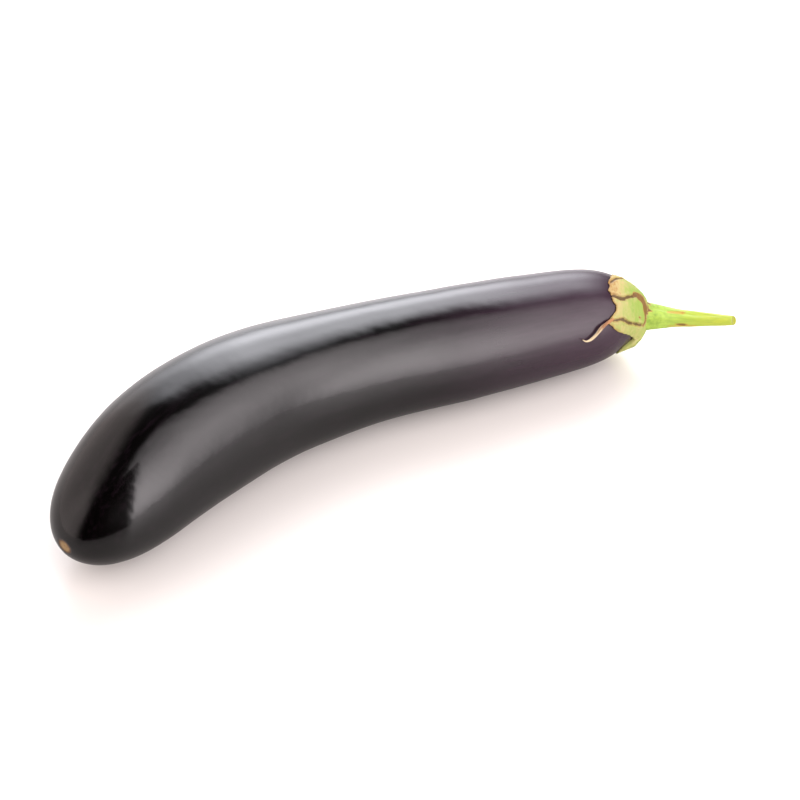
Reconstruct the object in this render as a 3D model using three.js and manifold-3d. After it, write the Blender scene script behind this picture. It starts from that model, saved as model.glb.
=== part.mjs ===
// A long, slim eggplant as picked, lying on its side: a glossy fruit that bends in one
// sweep, the leafy calyx that caps its neck, and the short green stem it was cut by.
// Millimetres, +Z up. The surface it lies on is z = 0. The stem points towards +X.

import * as THREE from 'three';
import { mergeVertices } from 'three/addons/utils/BufferGeometryUtils.js';
import Module from 'manifold-3d';

const wasm = await Module();
wasm.setup();

// ---------------------------------------------------------------- driving dimensions

// The fruit's axis runs from the blossom end (share 0) to the neck end (share 1).
const AXIS_LENGTH = 280;

// Share of the axis, radius of the fruit.
const RADIUS_STATIONS = [
  [0, 0], [0.03, 14.5], [0.1, 23.3], [0.22, 28.3], [0.38, 28], [0.55, 25.1],
  [0.72, 23.8], [0.86, 21.5], [0.94, 17.7], [0.98, 10.7], [1, 0],
];

// Share of the axis, its heading in degrees, anticlockwise from +X as seen from above.
const HEADING_STATIONS = [
  [0, 35], [0.25, 17], [0.5, -3.5], [0.75, -10.8], [0.9, -13.3], [1, -38.5],
];

// Share of the axis, its height over the surface. Between the shares 0.2 and 0.75 this is
// half a millimetre less than the radius, so the fruit lies on a narrow flat there, and
// both ends rise clear.
const HEIGHT_STATIONS = [
  [0, 24.7], [0.1, 24.8], [0.22, 27.8], [0.38, 27.5], [0.55, 24.6], [0.72, 23.3],
  [0.86, 21.8], [1, 20.3],
];

const SCAR_RADIUS = 3;
const SCAR_DEPTH = 0.5;

// Soft waves of the skin: height, waves round the fruit, turns along the axis in radians.
const SKIN_WAVES = [[0.28, 3, 4], [0.16, 2, -9], [0.14, 1, 31]];

// Gap kept between two pieces that touch on the real fruit.
const GAP = 0.3;

// The calyx is a leafy cap: thick where it meets the stem, thin at its cut edge. Up to its
// shoulder, which lies this far back from the neck end, it is whole, and beyond it parts
// into lobes.
const CALYX_THICK = 1.5;
const CALYX_EDGE_THICK = 1.1;
const CALYX_SHOULDER = 10;

// The cut edge of the calyx: the angle round the neck in degrees (0 is the outer side of
// the bend, 90 the top, 180 the inner side, 270 underneath), and how far the edge reaches
// back from the neck end along the axis. Low values are the notches between the lobes.
const CALYX_EDGE = [
  [2, 24], [9, 27], [17, 22], [27, 15.5], [38, 11.5], [48, 11], [56, 12.6], [65, 14.7],
  [76, 16], [86, 17.2], [92.5, 18.5], [98, 18.3], [106.5, 19.2], [111.5, 18.8],
  [115.2, 18.2], [118, 18.6], [121, 18.1], [127, 17], [131.5, 16.7], [135.5, 17.2],
  [139.2, 18.7], [142.8, 20.3], [144.5, 21.3], [147, 22.6], [149.5, 22.4], [152.2, 21.4],
  [155.2, 19.8], [159.5, 18.1], [163.5, 16.4], [168, 13.4], [175, 9.9], [184, 7.6],
  [193, 6.4], [202, 5.7], [210, 5.2], [215, 5.6], [217.5, 8], [219, 11], [221, 12.6],
  [226, 13.2], [232, 13], [238, 12], [243, 11], [249, 11.5],
  [256, 14.5], [265, 17.5], [272, 19], [281, 16.5], [290, 13.5], [297, 11.5], [304, 16],
  [312, 21], [318, 24.5], [325, 20], [333, 15], [340, 11.5], [352, 18],
];

// Where an edge curls clear of the skin: angle, half width in degrees, height.
const EDGE_CURLS = [[86, 14, 0.9], [149, 8, 0.5], [318, 12, 1], [9, 12, 0.8]];

// Where the cap is thicker, short of its edge: angle, half width in degrees, reach, half
// width along the neck, height.
const CAP_SWELLS = [[222, 24, 6.4, 3, 1.35]];

// Dry splits in the calyx, each a line of [angle, reach] points, as wide and deep as given.
const SPLITS = [
  [
    [116, 19.5], [114.2, 17.2], [115.2, 15.7], [116.8, 14.3], [116.8, 12.7], [113, 11],
    [109.5, 9.5], [106, 7.9], [100, 7],
  ],
  [
    [147, 19.7], [147.5, 17.6], [146.5, 15.7], [147, 13.9], [150.8, 12], [154.8, 9.6],
    [156.8, 7.4], [161.2, 5.1], [166, 3.8],
  ],
];
const SPLIT_HALF_WIDTH = 0.8;
const SPLIT_DEPTH = 0.5;

// Radius at which angles round the neck are turned into distances over it.
const NECK_RADIUS = 18;

// The dried, curling tip of one lobe, as [angle, reach, height over the skin] points.
const TENDRIL_ROUTE = [
  [145, 19.5, 1.3], [146.8, 22, 1.4], [150.5, 25.7, 1.7], [153.4, 27.8, 1.7],
  [158.8, 30.4, 1.5], [161.5, 32.1, 1.4], [163.8, 34.2, 1.3], [163.8, 35.9, 1.4],
  [160.8, 37.8, 1.8],
];
const TENDRIL_ROOT_RADIUS = 1.2;
const TENDRIL_TIP_RADIUS = 0.5;

// The stem: distance along it from the neck end of the fruit, and its radius and heading
// there. Its foot starts inside the neck and is trimmed to stand on the calyx, by a copy of
// the neck as long as the cut's reach.
const STEM_LENGTH = 37;
const STEM_FOOT = 4;
const STEM_CUT_REACH = 28;
const STEM_RADIUS_STATIONS = [
  [-4, 8.2], [-1, 6.4], [2, 5.6], [5, 5.1], [9, 4.3], [13, 3.7], [18, 3.3], [25, 2.85],
  [32, 2.35], [37, 2],
];
const STEM_HEADING_STATIONS = [[-4, -35], [0, -37], [12, -37], [37, -35]];
const STEM_RISE = 0.02;
const STEM_RIDGES = 5;
const STEM_RIDGE_HEIGHT = 0.25;
const STEM_RIDGES_END = 18;
const STEM_END_BEVEL = 0.5;

// The stem was cut at a slant: how far the cut runs along the stem for each millimetre
// across it, and the angle of the side where the stem is shortest.
const STEM_CUT_SLANT = 0.55;
const STEM_CUT_FACING = 138;

// Grid sizes, as rows along a piece and columns round it. The rows of the calyx crowd
// towards the stem by this power.
const FRUIT_GRID = { rows: 60, columns: 40 };
const CALYX_GRID = { rows: 20, columns: 120 };
const ROW_CROWDING = 1.7;
const TENDRIL_GRID = { rows: 18, columns: 8 };
const STEM_GRID = { rows: 26, columns: 30 };
const NECK_GRID = { rows: 24, columns: 60 };

// ---------------------------------------------------------------- curves

const radians = THREE.MathUtils.degToRad;
const smooth = THREE.MathUtils.smoothstep;

// A natural cubic spline through [place, value] stations, as a function of the place.
function splineThrough(stations) {
  const last = stations.length - 1;
  const place = stations.map(([at]) => at);
  const value = stations.map(([, worth]) => worth);
  const bend = new Array(last + 1).fill(0);
  const share = new Array(last + 1).fill(0);
  for (let i = 1; i < last; i += 1) {
    const before = place[i] - place[i - 1];
    const after = place[i + 1] - place[i];
    const pivot = 2 * (before + after) - before * share[i - 1];
    const turn = (value[i + 1] - value[i]) / after - (value[i] - value[i - 1]) / before;
    share[i] = after / pivot;
    bend[i] = (6 * turn - before * bend[i - 1]) / pivot;
  }
  for (let i = last - 1; i > 0; i -= 1) {
    bend[i] -= share[i] * bend[i + 1];
  }
  return (at) => {
    const held = THREE.MathUtils.clamp(at, place[0], place[last]);
    const i = Math.min(place.findLastIndex((p) => p <= held), last - 1);
    const span = place[i + 1] - place[i];
    const b = (held - place[i]) / span;
    const a = 1 - b;
    const straight = a * value[i] + b * value[i + 1];
    return straight + ((a ** 3 - a) * bend[i] + (b ** 3 - b) * bend[i + 1]) * span ** 2 / 6;
  };
}

// Straight lines through [place, value] stations, closed to a round of 360 degrees.
function roundOfLines(stations) {
  const [first] = stations;
  const closed = [...stations, [first[0] + 360, first[1]]];
  return (angle) => {
    const held = THREE.MathUtils.euclideanModulo(angle - first[0], 360) + first[0];
    const i = closed.findLastIndex(([at]) => at <= held);
    const [from, to] = [closed[i], closed[Math.min(i + 1, closed.length - 1)]];
    return THREE.MathUtils.mapLinear(held, from[0], to[0] + 1e-9, from[1], to[1]);
  };
}

const radiusSquared = splineThrough(RADIUS_STATIONS.map(([at, radius]) => [at, radius ** 2]));
const headingAt = splineThrough(HEADING_STATIONS);
const heightAt = splineThrough(HEIGHT_STATIONS);
const edgeReach = roundOfLines(CALYX_EDGE);
const stemRadiusAt = splineThrough(STEM_RADIUS_STATIONS);
const stemHeadingAt = splineThrough(STEM_HEADING_STATIONS);

// Walks from a start point, over the places from first to last in millimetres, by the
// heading in degrees at each place. Returns the point, the way it runs and the two
// directions across it, left and up, at any place.
function walk(start, first, last, heading, height) {
  const steps = 400;
  const stride = (last - first) / steps;
  const points = [start.clone()];
  for (let i = 0; i < steps; i += 1) {
    const turn = radians(heading(first + (i + 0.5) * stride));
    const step = new THREE.Vector3(Math.cos(turn), Math.sin(turn), 0);
    points.push(points[i].clone().addScaledVector(step, stride));
  }
  return (place) => {
    const at = THREE.MathUtils.clamp((place - first) / stride, 0, steps);
    const i = Math.min(Math.floor(at), steps - 1);
    const turn = radians(heading(place));
    const rise = (height(place + stride) - height(place - stride)) / (2 * stride);
    const point = points[i].clone().lerp(points[i + 1], at - i).setZ(height(place));
    const along = new THREE.Vector3(Math.cos(turn), Math.sin(turn), rise).normalize();
    const left = new THREE.Vector3(-Math.sin(turn), Math.cos(turn), 0);
    const up = new THREE.Vector3().crossVectors(along, left);
    return { point, along, left, up };
  };
}

const fruitAxis = walk(
  new THREE.Vector3(0, 0, 0),
  0,
  AXIS_LENGTH,
  (place) => headingAt(place / AXIS_LENGTH),
  (place) => heightAt(place / AXIS_LENGTH),
);

// The direction across a path at an angle in degrees: 0 is its left, 90 is up.
function across({ left, up }, angle) {
  const turn = radians(angle);
  return left.clone().multiplyScalar(Math.cos(turn)).addScaledVector(up, Math.sin(turn));
}

// The square of the radius is what runs smoothly along the axis, so both ends come out
// round.
const radiusAt = (share) => Math.sqrt(Math.max(radiusSquared(share), 0));

// How far the skin stands proud of a perfectly round section: soft waves that wind round
// the fruit and fade at its ends, and the dimple of the blossom scar.
function skinRelief(share, angle) {
  const fade = smooth(share, 0, 0.12) * (1 - smooth(share, 0.9, 1));
  let waves = 0;
  for (const [height, round, along] of SKIN_WAVES) {
    waves += height * Math.cos(round * radians(angle) + along * share);
  }
  const nearScar = 1 - smooth(radiusAt(share), 0.4 * SCAR_RADIUS, SCAR_RADIUS);
  const scar = share < 0.5 ? nearScar : 0;
  return fade * waves - SCAR_DEPTH * scar;
}

// The point on the fruit at a share of its axis and an angle round it, raised by a lift
// along the normal of the skin.
function onFruit(share, angle, lift = 0) {
  const frame = fruitAxis(share * AXIS_LENGTH);
  const out = across(frame, angle);
  const radius = radiusAt(share);
  const [before, after] = [Math.max(share - 0.001, 0), Math.min(share + 0.001, 1)];
  const slope = (radiusSquared(after) - radiusSquared(before)) / (after - before) / 2;
  const normal = out.clone().multiplyScalar(radius);
  normal.addScaledVector(frame.along, -slope / AXIS_LENGTH).normalize();
  const skin = frame.point.addScaledVector(out, radius);
  return skin.addScaledVector(normal, lift + skinRelief(share, angle));
}

// ---------------------------------------------------------------- closed bodies

// A sphere's grid, moved to where place(row, turn) says: row counts from the first pole to
// the last, and turn is the share of the way round, which faces the body outwards where it
// runs clockwise as seen along the rows.
function closedBody({ rows, columns }, place) {
  const geometry = new THREE.SphereGeometry(1, columns, rows);
  const { position, uv } = geometry.attributes;
  for (let i = 0; i < position.count; i += 1) {
    const row = Math.round((1 - uv.getY(i)) * rows);
    const point = place(row, uv.getX(i));
    position.setXYZ(i, point.x, point.y, point.z);
  }
  geometry.deleteAttribute('normal');
  geometry.deleteAttribute('uv');
  return mergeVertices(geometry);
}

function toSolid(geometry) {
  const vertProperties = new Float32Array(geometry.attributes.position.array);
  const triVerts = new Uint32Array(geometry.index.array);
  return new wasm.Manifold(new wasm.Mesh({ numProp: 3, vertProperties, triVerts }));
}

function toGeometry(solid) {
  const { vertProperties, triVerts } = solid.getMesh();
  const geometry = new THREE.BufferGeometry();
  geometry.setAttribute('position', new THREE.BufferAttribute(vertProperties, 3));
  geometry.setIndex(new THREE.BufferAttribute(triVerts, 1));
  geometry.computeVertexNormals();
  return geometry;
}

// ---------------------------------------------------------------- fruit

// Rows are spaced as the cosine of the way along, so they close up towards both ends.
function fruitBody() {
  const { rows } = FRUIT_GRID;
  return closedBody(FRUIT_GRID, (row, turn) => {
    const share = (1 - Math.cos((Math.PI * row) / rows)) / 2;
    return onFruit(share, -360 * turn);
  });
}

// What lies below the surface is cut away, which leaves the flat that the fruit rests on.
function fruit() {
  const depth = 20;
  const reach = 2 * AXIS_LENGTH;
  const below = new THREE.BoxGeometry(2 * reach, 2 * reach, depth);
  below.translate(0, 0, -depth / 2);
  below.deleteAttribute('normal');
  below.deleteAttribute('uv');
  return toSolid(fruitBody()).subtract(toSolid(mergeVertices(below)));
}

// ---------------------------------------------------------------- calyx

// The share of the fruit's axis at a reach back from its neck end.
const shareAt = (reach) => 1 - reach / AXIS_LENGTH;

// The distance in millimetres, over the skin of the neck, from a point to a line of
// [angle, reach] points.
function distanceToLine(line, angle, reach) {
  const flat = ([a, r]) => new THREE.Vector3(radians(a) * NECK_RADIUS, r, 0);
  const here = flat([angle, reach]);
  const nearest = new THREE.Vector3();
  let least = Infinity;
  for (let i = 0; i < line.length - 1; i += 1) {
    new THREE.Line3(flat(line[i]), flat(line[i + 1])).closestPointToPoint(here, true, nearest);
    least = Math.min(least, nearest.distanceTo(here));
  }
  return least;
}

function splitDepth(angle, reach) {
  const near = Math.min(...SPLITS.map((line) => distanceToLine(line, angle, reach)));
  return SPLIT_DEPTH * Math.exp(-((near / SPLIT_HALF_WIDTH) ** 2));
}

// A bell shape round the neck, one at the middle and falling off by the half width.
function bellAround(angle, middle, halfWidth) {
  const off = THREE.MathUtils.euclideanModulo(angle - middle + 180, 360) - 180;
  return Math.exp(-((off / halfWidth) ** 2));
}

// How far the cap stands off the skin, at an angle and a share of the way to its edge.
function standOff(angle, out) {
  let height = 0;
  for (const [middle, halfWidth, most] of EDGE_CURLS) {
    height += most * bellAround(angle, middle, halfWidth) * smooth(out, 0.55, 1);
  }
  return height;
}

// How much thicker the cap is where it swells, at an angle, a reach and a share of the way
// to its edge.
function swell(angle, reach, out) {
  let height = 0;
  for (const [middle, halfWidth, middleReach, halfReach, most] of CAP_SWELLS) {
    const along = Math.exp(-(((reach - middleReach) / halfReach) ** 2)) * smooth(out, 0, 0.3);
    height += most * bellAround(angle, middle, halfWidth) * along;
  }
  return height;
}

// The upper half of the rows is the outer face, from the stem to the cut edge, and the
// lower half is the inner face, from the edge back to the stem.
function calyxCap() {
  const half = CALYX_GRID.rows / 2;
  return closedBody(CALYX_GRID, (row, turn) => {
    const angle = 360 * turn;
    const outer = row <= half;
    const out = outer ? row / half : (CALYX_GRID.rows - row) / (half - 1);
    const edge = THREE.MathUtils.lerp(CALYX_SHOULDER, edgeReach(angle), smooth(out, 0.2, 1));
    const reach = edge * out ** ROW_CROWDING;
    const thick = THREE.MathUtils.lerp(CALYX_THICK, CALYX_EDGE_THICK, out ** 2);
    const body = outer ? thick + swell(angle, reach, out) - splitDepth(angle, reach) : 0;
    return onFruit(shareAt(reach), angle, GAP + standOff(angle, out) + body);
  });
}

// A round strand that follows its route a little clear of the skin and thins to its tip.
function tendril() {
  const { rows } = TENDRIL_GRID;
  const places = TENDRIL_ROUTE.map(([angle, reach, lift]) => onFruit(shareAt(reach), angle, lift));
  const curve = new THREE.CatmullRomCurve3(places);
  const [rootAngle, rootReach] = TENDRIL_ROUTE[0];
  const outwards = places[0].clone().sub(onFruit(shareAt(rootReach), rootAngle));
  return closedBody(TENDRIL_GRID, (row, turn) => {
    const share = (1 - Math.cos((Math.PI * row) / rows)) / 2;
    const along = curve.getTangentAt(share);
    const left = new THREE.Vector3().crossVectors(outwards, along).normalize();
    const up = new THREE.Vector3().crossVectors(along, left);
    const rounded = row === 0 || row === rows ? 0 : Math.sin(Math.PI * share) ** 0.35;
    const radius = THREE.MathUtils.lerp(TENDRIL_ROOT_RADIUS, TENDRIL_TIP_RADIUS, share);
    const out = across({ left, up }, -360 * turn);
    return curve.getPointAt(share).addScaledVector(out, radius * rounded);
  });
}

function calyx() {
  return toSolid(calyxCap()).add(toSolid(tendril()));
}

// ---------------------------------------------------------------- stem

const neckEnd = fruitAxis(AXIS_LENGTH);
const stemHeight = (place) => neckEnd.point.z + STEM_RISE * place;
const stemStart = neckEnd.point.clone().addScaledVector(neckEnd.along, -STEM_FOOT);
const stemAxis = walk(stemStart, -STEM_FOOT, STEM_LENGTH, stemHeadingAt, stemHeight);

// Rows: the centre of the foot, its rim, the flank, the bevel and the centre of the cut.
function stemRod() {
  const { rows } = STEM_GRID;
  const lastFlank = rows - 2;
  const flankEnd = STEM_LENGTH - STEM_END_BEVEL;
  return closedBody(STEM_GRID, (row, turn) => {
    const angle = -360 * turn;
    const share = Math.max((row - 1) / (lastFlank - 1), 0) ** 1.3;
    const flank = THREE.MathUtils.lerp(-STEM_FOOT, flankEnd, share);
    const place = row > lastFlank ? STEM_LENGTH : flank;
    const ridge = STEM_RIDGE_HEIGHT * Math.cos(STEM_RIDGES * radians(angle));
    const fade = 1 - smooth(place, STEM_RIDGES_END, STEM_LENGTH);
    const bevel = row > lastFlank ? STEM_END_BEVEL : 0;
    const centre = row === 0 || row === rows;
    const frame = stemAxis(place);
    const radius = centre ? 0 : stemRadiusAt(place) + ridge * fade - bevel;
    const near = radius * Math.cos(radians(angle - STEM_CUT_FACING));
    const shorter = STEM_CUT_SLANT * near * smooth(place, STEM_LENGTH - 5, STEM_LENGTH);
    const onAxis = frame.point.addScaledVector(frame.along, -shorter);
    return onAxis.addScaledVector(across(frame, angle), radius);
  });
}

// The neck end raised to just over the calyx, which the foot of the stem is cut to. Its
// rows start at the axis inside the neck and close up towards the end.
function raisedNeck() {
  const lift = CALYX_THICK + 2 * GAP;
  return closedBody(NECK_GRID, (row, turn) => {
    const share = shareAt(STEM_CUT_REACH * (1 - row / NECK_GRID.rows) ** 2);
    return row === 0 ? fruitAxis(share * AXIS_LENGTH).point : onFruit(share, -360 * turn, lift);
  });
}

function stem() {
  return toSolid(stemRod()).subtract(toSolid(raisedNeck()));
}

// ---------------------------------------------------------------- assembly

const group = new THREE.Group();

function addPiece(name, solid, colour, roughness) {
  const material = new THREE.MeshStandardMaterial({ color: colour, roughness, metalness: 0 });
  const mesh = new THREE.Mesh(toGeometry(solid), material);
  mesh.name = name;
  group.add(mesh);
}

addPiece('fruit', fruit(), 0x1c1420, 0.18);
addPiece('calyx', calyx(), 0xbccb62, 0.6);
addPiece('stem', stem(), 0xb7d957, 0.5);

// The origin is under the middle of the whole, on the surface that the fruit lies on.
const middle = new THREE.Box3().setFromObject(group, true).getCenter(new THREE.Vector3());
group.position.set(-middle.x, -middle.y, 0);

export default group;
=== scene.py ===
"""A long, slim eggplant as picked, lying on its side: glossy fruit, leafy calyx and cut stem.

The shapes follow the stations of the frame's solids closely, on much finer grids. The ripples
of the skin, the ragged edge, torn band and wrinkles of the calyx and the fibres of the stem are
added to them. Lengths are in millimetres and angles in degrees, until a mesh, a pattern or the
camera is written in metres.
"""

import logging
from collections.abc import Callable, Sequence
from dataclasses import dataclass
from enum import Enum

import bpy
import numpy as np
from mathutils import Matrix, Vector


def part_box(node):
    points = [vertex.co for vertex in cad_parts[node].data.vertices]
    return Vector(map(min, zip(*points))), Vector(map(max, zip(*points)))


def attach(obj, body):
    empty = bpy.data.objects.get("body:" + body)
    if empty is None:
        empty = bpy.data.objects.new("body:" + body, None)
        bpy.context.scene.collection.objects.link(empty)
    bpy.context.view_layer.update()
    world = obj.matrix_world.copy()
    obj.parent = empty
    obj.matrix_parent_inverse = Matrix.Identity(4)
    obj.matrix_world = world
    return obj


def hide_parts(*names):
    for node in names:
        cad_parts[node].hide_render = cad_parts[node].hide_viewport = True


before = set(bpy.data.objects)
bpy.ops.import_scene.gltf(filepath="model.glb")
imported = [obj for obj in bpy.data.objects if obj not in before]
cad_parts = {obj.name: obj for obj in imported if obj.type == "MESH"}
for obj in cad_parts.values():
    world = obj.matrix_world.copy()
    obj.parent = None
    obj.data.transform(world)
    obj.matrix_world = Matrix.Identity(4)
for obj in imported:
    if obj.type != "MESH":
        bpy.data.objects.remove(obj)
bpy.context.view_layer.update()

LOG = logging.getLogger("eggplant")
METRES = 0.001

Array = np.ndarray
Stations = Sequence[Sequence[float]]
Masks = dict[str, Array]
Curve = Callable[[Array], Array]
Surface = Callable[[Array, Array], Array]
Node = bpy.types.Node
Stops = Sequence[tuple[float, str]]


class Slot(Enum):
    """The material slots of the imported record."""

    SKIN = "skin"
    CALYX = "calyx"
    STEM = "stem"


# ---- curves


class Spline:
    """A natural cubic spline through stations: a place, then one value or more."""

    def __init__(self, stations: Stations, scale: float = 1.0) -> None:
        """Solves for the bend at each station.

        The bends of a station's neighbours, each times the gap to it, and its own bend times
        twice both gaps add up to six times its change of slope. The end stations don't bend.

        Args:
            stations: The place, rising from station to station, and the values there.
            scale: What the places are multiplied by.
        """
        rows = np.array(stations, float)
        self.places = rows[:, 0] * scale
        self.values = rows[:, 1:]
        gaps = np.diff(self.places)
        matrix = np.eye(len(rows))
        inner = np.arange(1, len(rows) - 1)
        matrix[inner, inner - 1] = gaps[:-1]
        matrix[inner, inner] = 2 * (gaps[:-1] + gaps[1:])
        matrix[inner, inner + 1] = gaps[1:]
        slopes = np.diff(self.values, axis=0) / gaps[:, None]
        turns = np.zeros_like(self.values)
        turns[1:-1] = 6 * np.diff(slopes, axis=0)
        self.bends = np.linalg.solve(matrix, turns)

    def __call__(self, at: Array) -> Array:
        """The value at each place, held constant past both ends.

        It is the straight line between two stations plus, for either one, the cube of the
        share less the share, times the station's bend and the squared gap over 6.

        Args:
            at: Places, of any shape.

        Returns:
            An array of the same shape, with one more axis where a station has several values.
        """
        at = np.clip(np.asarray(at, float), self.places[0], self.places[-1])
        i = np.clip(np.searchsorted(self.places, at, side="right") - 1, 0, len(self.places) - 2)
        gap = (self.places[i + 1] - self.places[i])[..., None]
        after = (at - self.places[i])[..., None] / gap
        before = 1 - after
        value = before * self.values[i] + after * self.values[i + 1]
        value += (before**3 - before) * self.bends[i] * gap**2 / 6
        value += (after**3 - after) * self.bends[i + 1] * gap**2 / 6
        return value[..., 0] if self.values.shape[1] == 1 else value


def smooth(value: Array, low: float, high: float) -> Array:
    """Rises from 0 at low to 1 at high as 3t squared minus 2t cubed."""
    t = np.clip((value - low) / (high - low), 0, 1)
    return t * t * (3 - 2 * t)


def blend(low: Array, high: Array, share: Array) -> Array:
    """The value a share of the way from low to high."""
    return low + (high - low) * share


def bell(offset: Array, width: float) -> Array:
    """A bell that is 1 at no offset and 1/e at the width."""
    return np.exp(-((offset / width) ** 2))


def turn_between(angle: Array, middle: float) -> Array:
    """The turn in degrees from the middle to an angle, from -180 to 180."""
    return (angle - middle + 180) % 360 - 180


def closing(count: int) -> Array:
    """Shares from 0 to 1 that are spaced as a cosine, so that they close up at both ends."""
    return (1 - np.cos(np.linspace(0, np.pi, count))) / 2


def unit(vectors: Array) -> Array:
    """The vectors scaled to a length of 1."""
    return vectors / np.maximum(np.linalg.norm(vectors, axis=-1, keepdims=True), 1e-12)


def rolled_out(along: Array, radius: Array, turn: Array) -> Array:
    """The points as if the piece were straight: the place along, then across and up."""
    parts = np.broadcast_arrays(along, radius * np.cos(turn), radius * np.sin(turn))
    return np.stack(parts, -1)


@dataclass(frozen=True)
class Section:
    """Where a path is at some places, and its directions along, to the left and up."""

    point: Array
    along: Array
    left: Array
    up: Array

    def across(self, angle: Array) -> Array:
        """The direction across the path at an angle: 0 is its left and 90 is up."""
        turn = np.radians(angle)[..., None]
        return np.cos(turn) * self.left + np.sin(turn) * self.up


class Path:
    """A path walked over the ground by its heading, with its height given by the place."""

    STEPS = 400

    def __init__(
        self, start: Array, first: float, last: float, heading: Curve, height: Curve
    ) -> None:
        """Adds up equal strides, each along the heading at its middle.

        Args:
            start: The point on the ground at the first place.
            first: The first place.
            last: The last place.
            heading: The heading in degrees, anticlockwise from +X, at a place.
            height: The height at a place.
        """
        self.first = first
        self.stride = (last - first) / self.STEPS
        turn = np.radians(heading(first + (np.arange(self.STEPS) + 0.5) * self.stride))
        strides = np.stack([np.cos(turn), np.sin(turn)], -1) * self.stride
        self.ground = np.concatenate([[start], start + np.cumsum(strides, 0)])
        self.heading = heading
        self.height = height

    def at(self, place: Array) -> Section:
        """The sections of the path.

        Args:
            place: Places, of any shape.

        Returns:
            The points, joined by straight lines, with the directions that the heading and
            the rise of the height give.
        """
        place = np.asarray(place, float)
        at = np.clip((place - self.first) / self.stride, 0, self.STEPS)
        i = np.minimum(at.astype(int), self.STEPS - 1)
        ground = blend(self.ground[i], self.ground[i + 1], (at - i)[..., None])
        turn = np.radians(self.heading(place))
        rise = self.height(place + self.stride) - self.height(place - self.stride)
        level = np.stack([np.cos(turn), np.sin(turn)], -1)
        slope = (rise / (2 * self.stride))[..., None]
        along = unit(np.concatenate([level, slope], -1))
        left = np.stack([-np.sin(turn), np.cos(turn), np.zeros_like(turn)], -1)
        point = np.concatenate([ground, self.height(place)[..., None]], -1)
        return Section(point, along, left, np.cross(along, left))


# ---- meshes


def new_piece(name: str, points: Array, faces: Sequence) -> bpy.types.Object:
    """Makes an object that is unturned at the origin, with its place in its mesh.

    Args:
        name: The name of the object and its mesh.
        points: The points in millimetres.
        faces: The numbers of each face's points.

    Returns:
        The object.
    """
    mesh = bpy.data.meshes.new(name)
    mesh.from_pydata(points * METRES, [], faces)
    piece = bpy.data.objects.new(name, mesh)
    bpy.context.scene.collection.objects.link(piece)
    return piece


def with_poles(grid: Array) -> Array:
    """A grid's values as one row, where its first and last row become their means."""
    body = grid[1:-1].reshape(-1, *grid.shape[2:])
    return np.concatenate([grid[:1].mean(1), body, grid[-1:].mean(1)])


def closed_mesh(name: str, points: Array, straight: Array, masks: Masks) -> bpy.types.Object:
    """Writes a closed body from a grid of points.

    Rows run from one pole to the other and columns run round. The first and the last row are
    drawn together into single points. A face runs row r column c, row r column c + 1, row
    r + 1 column c + 1, row r + 1 column c, and faces out where the columns turn from left to
    up as seen along the rows.

    Args:
        name: The name of the object and its mesh.
        points: Millimetres, rows by columns by 3.
        straight: Where each point would be if the piece were straight, in millimetres.
        masks: A number at each point of the grid, by their names.

    Returns:
        The object, with the straight points in metres and the masks as its attributes.
    """
    rows, columns = points.shape[:2]
    corner = np.zeros((rows, columns), int)
    corner[1:-1] = 1 + np.arange((rows - 2) * columns).reshape(rows - 2, columns)
    corner[-1] = corner.max() + 1
    after = np.roll(corner, -1, axis=1)
    quads = np.stack([corner[:-1], after[:-1], after[1:], corner[1:]], -1)
    fans = [*quads[0, :, 1:].tolist(), *quads[-1, :, :3].tolist()]
    faces = quads[1:-1].reshape(-1, 4).tolist() + fans
    piece = new_piece(name, with_poles(points), faces)
    mesh = piece.data
    mesh.polygons.foreach_set("use_smooth", np.ones(len(faces), bool))
    layer = mesh.attributes.new("straight", "FLOAT_VECTOR", "POINT")
    layer.data.foreach_set("vector", with_poles(straight * METRES).astype(np.float32).ravel())
    for mask, values in masks.items():
        layer = mesh.attributes.new(mask, "FLOAT", "POINT")
        layer.data.foreach_set("value", with_poles(values).astype(np.float32))
    mesh.update()
    return piece


def random_waves(
    points: Array, seed: int, shortest: float, longest: float, height: float
) -> Array:
    """Uneven soft waves: a sum of plane waves in random directions through the points.

    Each is height times the sine of 2 pi times the distance along its direction over its
    wavelength, plus a random phase, and the sum is scaled by the root of 2 over the count.

    Args:
        points: Where the waves are read, in millimetres.
        seed: The seed of the random draw.
        shortest: The shortest wavelength.
        longest: The longest wavelength.
        height: The height of the waves, as their root mean square.

    Returns:
        The height of the waves at each point.
    """
    count = 40
    draw = np.random.default_rng(seed)
    directions = unit(draw.normal(size=(count, 3)))
    lengths = draw.uniform(shortest, longest, count)
    phases = draw.uniform(0, 2 * np.pi, count)
    waves = np.sin(points @ (2 * np.pi * directions / lengths[:, None]).T + phases)
    return height * np.sqrt(2 / count) * waves.sum(-1)


def round_line(angle: Array, places: Sequence[float], values: Sequence[float]) -> Array:
    """Straight lines round a circle through the values at the places, which are angles."""
    return np.interp(angle % 360, places, values, period=360)


def ragged_round(angle: Array, seed: int, stations: int, height: float) -> Array:
    """Random heights at even stations round a circle, joined by straight lines."""
    heights = np.random.default_rng(seed).uniform(-height, height, stations)
    return round_line(angle, np.arange(stations) * 360 / stations, heights)


@dataclass(frozen=True)
class Stroke:
    """A line over a surface with a half width at each of its points."""

    STEP = 0.2

    points: Array
    half_widths: Array

    @classmethod
    def over(cls, surface: Surface, stations: Stations) -> "Stroke":
        """Draws a stroke over a surface, in steps of about the usual length.

        Args:
            surface: The points at arrays of its two parameters.
            stations: The two parameters and the half width at each corner of the line.

        Returns:
            The stroke, straight in its parameters from corner to corner.
        """
        corners = np.array(stations, float)
        travel = travelled(surface(corners[:, 0], corners[:, 1]))
        at = np.linspace(0, travel[-1], max(int(travel[-1] / cls.STEP), 2))
        first, second, width = (np.interp(at, travel, column) for column in corners.T)
        return cls(surface(first, second), width)


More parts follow.
